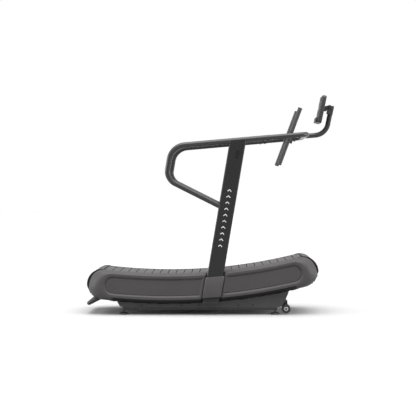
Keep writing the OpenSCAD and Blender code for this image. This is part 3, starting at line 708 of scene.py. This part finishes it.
# -------------------------------------------------------- uprights' details
def upright_axes():
    """Foot of the uprights' centre line in the middle plane, and the
    directions along and across them."""
    return (Vector((UPRIGHT_X, 0, UPRIGHT_Z)),
            Vector((math.sin(UPRIGHT_LEAN), 0, math.cos(UPRIGHT_LEAN))),
            Vector((math.cos(UPRIGHT_LEAN), 0, -math.sin(UPRIGHT_LEAN))))


def build_upright_marks():
    """A column of plain chevrons on each upright's outer face."""
    foot, along, across = upright_axes()
    chevron = [(-0.014, -0.010), (0, 0.002), (0.014, -0.010), (0.014, -0.003), (0, 0.009),
               (-0.014, -0.003)]
    for name, side in SIDES.items():
        parts = []
        for k in range(CHEVRONS):
            centre = foot + along * (CHEVRON_LOW + CHEVRON_STEP * k)
            rings = [[centre + across * u + along * v + Vector((0, side * y, 0))
                      for u, v in chevron] for y in (CHEVRON_IN, CHEVRON_OUT)]
            parts.append(skin(rings))
        piece(f"{name}_upright_chevrons", *joined(parts), "chassis", "button_grey",
              smooth=False, look="mark_grey")


def build_sleeves():
    """Clamp sleeves round the uprights, cut along the covers' curve. Below the hem they are painted
    black as painted shade, carrying on the covers' painted shade."""
    foot, along, across = upright_axes()

    def ring(width, thickness, corner, radius, side):
        points = []
        for u, v in outline(width, thickness, corner, 8):
            start = foot + across * u
            off = Vector((start.x - ARC_X, 0, start.z - ARC_Z))
            half = off.dot(along)
            reach = -half - math.sqrt(half * half - off.length_squared + radius * radius)
            points.append(start + along * reach + Vector((0, side * (RAIL_Y + v), 0)))
        return points

    parts = []
    for side in SIDES.values():
        outer = [ring(SLEEVE_W - 2 * inset, SLEEVE_T - 2 * inset, SLEEVE_EDGE - inset, radius, side)
                 for radius, inset in ((SLEEVE_LOW, 0.004), (SLEEVE_HEM + 0.001, 0.004),
                                       (SLEEVE_HEM, 0.004), (SLEEVE_HEM - 0.0012, 0.0012),
                                       (SLEEVE_HEM - 0.004, 0), (SLEEVE_TOP + 0.004, 0),
                                       (SLEEVE_TOP + 0.0012, 0.0012), (SLEEVE_TOP, 0.004))]
        inner = [ring(0.1206, 0.0506, 0.0123, radius, side) for radius in (SLEEVE_TOP, SLEEVE_LOW)]
        parts.append(skin(outer + inner + outer[:1], caps=False))
    obj = piece("upright_sleeve_shells", *joined(parts), "chassis", "sleeve_charcoal",
                ["upright_sleeves"])
    # Painted shade: the sleeves below the hem take the black finish
    paint_shade(obj, lambda radius, angle: radius > SLEEVE_HEM)


# ------------------------------------------------------------------- console
def console_point(depth, y, up):
    """A point of the console; depth runs from its middle to the back."""
    cosine, sine = math.cos(CONSOLE_LEAN), math.sin(CONSOLE_LEAN)
    return CONSOLE_C + Vector((depth * cosine + up * sine, y, -depth * sine + up * cosine))


def build_console():
    """Case, bezel, screen, plain display shapes and the three button caps."""
    front = -CONSOLE_T / 2
    back = console_point(1, 0, 0) - console_point(0, 0, 0)
    piece("console_case", *slab(CONSOLE_W, CONSOLE_H, eased(-front, front, 0.007, 5), 0.018,
                                console_point),
          "console", "black_plastic", ["console_housing"])
    frame_levels = [(front - 0.0005, 0.0), (front - 0.0011, 0.0008), (front - 0.0011, 0.0030),
                    (front - 0.0002, 0.0036)]
    rings = [[console_point(depth, u, SCREEN_UP + v)
              for u, v in outline(SCREEN_W + 0.010 - 2 * inset, SCREEN_H + 0.010 - 2 * inset,
                                  0.010 - inset)]
             for depth, inset in frame_levels]
    piece("console_bezel", *skin(rings + rings[:1], caps=False), "console", "black_plastic")
    glass_levels = eased(front + 0.001, front - 0.0006, 0.0004, 2)
    piece("console_glass", *slab(SCREEN_W, SCREEN_H, glass_levels, 0.006,
                                 lambda d, u, v: console_point(d, u, SCREEN_UP + v)),
          "console", "screen_glass", ["console_screen"])
    shown, film = front - 0.0009, 0.0003
    ring = lathe([(0, 0.026), (film, 0.026), (film, 0.031), (0, 0.031)],
                 console_point(shown + film, -0.055, SCREEN_UP + 0.012), -back, 64, closed=True)
    bars = []
    base = SCREEN_UP - 0.030
    for k, height in enumerate(BAR_HEIGHTS):
        y = 0.006 + 0.011 * k
        corners = [(y, base), (y + 0.007, base), (y + 0.007, base + height), (y, base + height)]
        bars.append(skin([[console_point(depth, u, v) for u, v in corners]
                          for depth in (shown, shown + film)]))
    piece("console_display", *joined([ring] + bars), "console", "screen_glass", smooth=False,
          look="display_grey")
    for name, place in (("left", 1), ("middle", 0), ("right", -1)):
        origin = console_point(front - BUTTON_PROUD, place * BUTTON_STEP, BUTTON_UP)
        cap = lathe([(0.0003, 0.0002), (0.0002, 0.0050), (0, 0.0068), (0.0001, 0.0076),
                     (0.0003, 0.0080), (0.007, 0.0080), (0.007, 0.0002)], origin, back, 40)
        piece(f"{name}_button_cap", *cap, f"button_{name}", "button_grey", [f"{name}_button"])


# -------------------------------------------------------- wheels and feet
def build_wheels():
    """Tyre and hub of each transport wheel: profiles are (out, radius)."""
    for name, side in SIDES.items():
        origin = middle(f"{name}_hub")
        out = (0, side, 0)
        half = [(0.0016, 0.0332), (0.0022, 0.0340), (0.0065, 0.0339), (0.0092, 0.0332),
                (0.0112, 0.0312), (0.0124, 0.0285), (0.0126, 0.0156), (0.0124, 0.0150),
                (0.0121, 0.0150), (0.0120, 0.0210)]
        tyre = [(-d, r) for d, r in half[::-1]] + half
        piece(f"{name}_wheel_tyre", *lathe(tyre, origin, out, 64, closed=True),
              f"{name}_wheel", "wheel_rubber", [f"{name}_tyre"])
        hub = [(-0.0120, 0.00605), (-0.0120, 0.0110), (-0.0080, 0.0125), (-0.0080, 0.0172),
               (-0.0118, 0.0182), (-0.0118, 0.0210), (0.0118, 0.0210), (0.0118, 0.0182),
               (0.0080, 0.0172), (0.0080, 0.0125), (0.0120, 0.0110), (0.0120, 0.00605)]
        piece(f"{name}_wheel_hub", *lathe(hub, origin, out, 64, closed=True),
              f"{name}_wheel", "slat_aluminium", [f"{name}_hub"], look="hub_light")


def build_feet():
    """Levelling feet: a pad with its screw as one turned profile, and a nut."""
    pad = [(0.0, 0.0002), (0.0, 0.0335), (0.0012, 0.0352), (0.0040, 0.0360), (0.0075, 0.0356),
           (0.0100, 0.0342), (0.0118, 0.0318), (0.0124, 0.0275), (0.0150, 0.0225),
           (0.0172, 0.0150), (0.0180, 0.0115), (0.0180, 0.0058)]
    at = 0.019
    while at < 0.088:
        pad += [(at, 0.0058), (at + 0.0008, 0.0052), (at + 0.0016, 0.0058)]
        at += 0.0020
    pad += [(0.0895, 0.0058), (0.090, 0.0052), (0.090, 0.0002)]
    nut = [(0.048, 0.0058), (0.048, 0.0088), (0.0488, 0.0104), (0.0562, 0.0104),
           (0.057, 0.0088), (0.057, 0.0058)]
    for end in ("front", "rear"):
        for name in SIDES:
            origin = middle(f"{end}_{name}_foot")
            origin.z = 0
            parts = [lathe(pad, origin, (0, 0, 1), 48),
                     lathe(nut, origin, (0, 0, 1), 6, closed=True)]
            piece(f"{end}_{name}_foot_body", *joined(parts), f"foot_{end}_{name}",
                  "black_plastic", [f"{end}_{name}_foot"])


# ------------------------------------------------------------- CAD finishes
def dress_cad():
    """Finishes of the nodes that keep their CAD shape."""
    dress(["right_side_plate", "left_side_plate"], "frame_dark", look="plate_grey")
    dress(["base_cross_members", "deck_cross_tubes",
           "cover_brackets", "wheel_brackets", "push_handles"], "frame_dark")
    dress(["upright_brackets", "handle_clamps", "console_fork", "console_arm"], "frame_dark",
          bevel=0.0015)
    dress(["crossbar"], "frame_charcoal")
    dress(["right_upright", "left_upright"], "frame_charcoal", look="upright_charcoal")
    dress(["drive_belts"], "belt_rubber")
    dress(["slat_bars"], "bar_black")
    dress(["front_pulleys", "rear_pulleys"], "slat_aluminium")
    dress(["bearing_rails", "roller_axles", "support_rollers", "shaft_bearings",
           "belt_tensioners", "front_shaft", "rear_shaft"], "bright_steel")
    dress(["wheel_bolts", "frame_bolts", "handlebar_screws"], "black_steel", bevel=0.0006)
    dress(["speed_sensor"], "black_plastic", bevel=0.001)
    dress(["upright_plugs"], "black_plastic", bevel=0.0005, look="cap_black")
    dress(["tablet_lip"], "black_plastic", bevel=0.0015)
    dress(["tilt_knob"], "black_plastic", bevel=0.0012)


# ------------------------------------------------------------------ the stage
def studio_world():
    """Soft studio light from all round: brightest above and a little towards
    the camera, bright at both ends, dimmest behind the camera. What the camera
    itself sees is plain white."""
    world = bpy.data.worlds.new("studio")
    bpy.context.scene.world = world
    world.use_nodes = True
    tree = world.node_tree
    link = tree.links.new
    coords = tree.nodes.new("ShaderNodeTexCoord")
    split = tree.nodes.new("ShaderNodeSeparateXYZ")
    link(coords.outputs["Generated"], split.inputs[0])

    def maths(operation, a, b):
        node = tree.nodes.new("ShaderNodeMath")
        node.operation = operation
        for socket, value in zip(node.inputs, (a, b)):
            if isinstance(value, (int, float)):
                socket.default_value = value
            else:
                link(value, socket)
        return node.outputs[0]

    dot = tree.nodes.new("ShaderNodeVectorMath")
    dot.operation = "DOT_PRODUCT"
    dot.inputs[1].default_value = TOP_FROM
    link(coords.outputs["Generated"], dot.inputs[0])
    above = maths("POWER", maths("MAXIMUM", dot.outputs["Value"], 0.0), TOP_FOCUS)
    ends = maths("POWER", maths("ABSOLUTE", split.outputs["X"], 0.0), END_FOCUS)
    forward = maths("MULTIPLY", split.outputs["Y"], -1.0)
    ahead = maths("POWER", maths("MAXIMUM", forward, 0.0), FRONT_FOCUS)
    around = maths("SUBTRACT", FRONT_LIGHT, maths("MULTIPLY", ahead, FRONT_DIP))
    light = maths("ADD", maths("MULTIPLY", above, TOP_LIGHT), around)
    light = maths("ADD", light, maths("MULTIPLY", ends, END_LIGHT))
    lighting = tree.nodes["Background"]
    link(light, lighting.inputs["Strength"])
    white = node_of(tree, "ShaderNodeBackground", Strength=1.0)
    white.inputs["Color"].default_value = (1, 1, 1, 1)
    lighting.inputs["Color"].default_value = (1, 1, 1, 1)
    seen = tree.nodes.new("ShaderNodeLightPath")
    choose = tree.nodes.new("ShaderNodeMixShader")
    link(seen.outputs["Is Camera Ray"], choose.inputs[0])
    link(lighting.outputs[0], choose.inputs[1])
    link(white.outputs[0], choose.inputs[2])
    link(choose.outputs[0], tree.nodes["World Output"].inputs["Surface"])


def build_stage():
    """Plain pale floor, the light and the camera."""
    scene = bpy.context.scene
    scene.view_settings.view_transform = "Standard"
    scene.view_settings.look = "None"
    studio_world()

    corners = [(FLOOR_HALF * a, FLOOR_HALF * b, 0) for a, b in ((-1, -1), (1, -1), (1, 1), (-1, 1))]
    mesh = bpy.data.meshes.new("floor")
    mesh.from_pydata(corners, [], [(0, 1, 2, 3)])
    floor = bpy.data.objects.new("floor", mesh)
    scene.collection.objects.link(floor)
    paint = bpy.data.materials.new("floor_white")
    paint.use_nodes = True
    tree = paint.node_tree
    shader = tree.nodes["Principled BSDF"]
    shader.inputs["Base Color"].default_value = (FLOOR_WHITE, FLOOR_WHITE, FLOOR_WHITE, 1)
    shader.inputs["Roughness"].default_value = 0.9
    mesh.materials.append(paint)

    camera = bpy.data.objects.new("camera", bpy.data.cameras.new("camera"))
    camera.location = CAMERA_AT
    camera.rotation_euler = (CAMERA_AIM - CAMERA_AT).to_track_quat("-Z", "Y").to_euler()
    camera.data.lens = CAMERA_LENS
    camera.data.clip_end = 100
    scene.collection.objects.link(camera)
    scene.camera = camera


build_covers()
build_edge_trims()
build_belt()
build_rails()
build_push_handles()
build_carry_handle()
build_upright_marks()
build_sleeves()
build_console()
build_wheels()
build_feet()
dress_cad()
build_stage()
